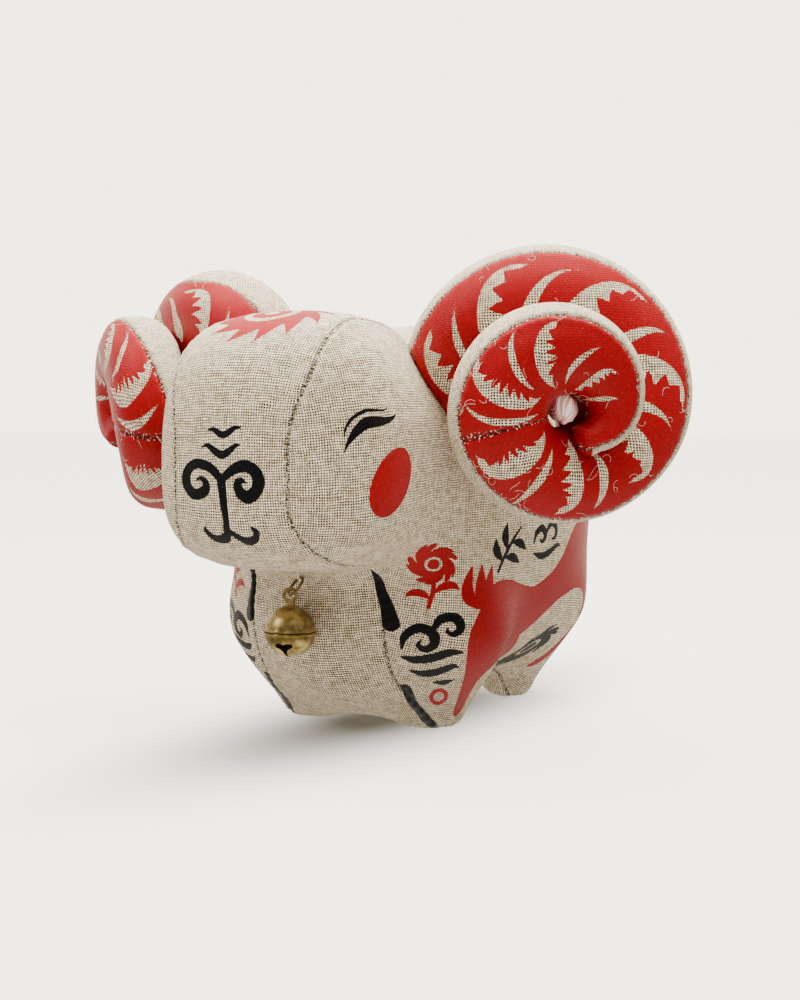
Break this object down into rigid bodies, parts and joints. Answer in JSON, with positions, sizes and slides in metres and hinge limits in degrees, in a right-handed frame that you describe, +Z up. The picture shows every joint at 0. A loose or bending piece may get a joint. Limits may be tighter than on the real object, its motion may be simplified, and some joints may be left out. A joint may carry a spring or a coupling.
{
  "type": "chinese zodiac figure",
  "caption": "Small stuffed linen ram standing on short feet, with coiled printed horns at the sides of its head and a brass jingle bell hanging under its chin.",
  "frame": {"origin": "on the ground under the middle of the figure's bounding box, with the feet standing on z = 0", "axes": "+Z up, -Y the way the animal faces, +X its left side"},
  "size_m": [0.1608, 0.141, 0.1172],
  "materials": {
    "linen": "coarse plain weave, unbleached",
    "printed_linen": "coarse plain weave with a glossy red print",
    "gathered_cloth": "soft white cloth, stained pink",
    "brass": "tarnished, fine scratches",
    "thread": "twisted, matt"
  },
  "bodies": {
    "root": {"body": "linen", "horn_left": "printed_linen", "horn_right": "printed_linen", "horn_knot_left": "gathered_cloth", "horn_knot_right": "gathered_cloth", "bell_upper": "brass", "bell_lower": "brass", "bell_ring": "brass", "bell_thread": "thread"}
  },
  "joints": []
}
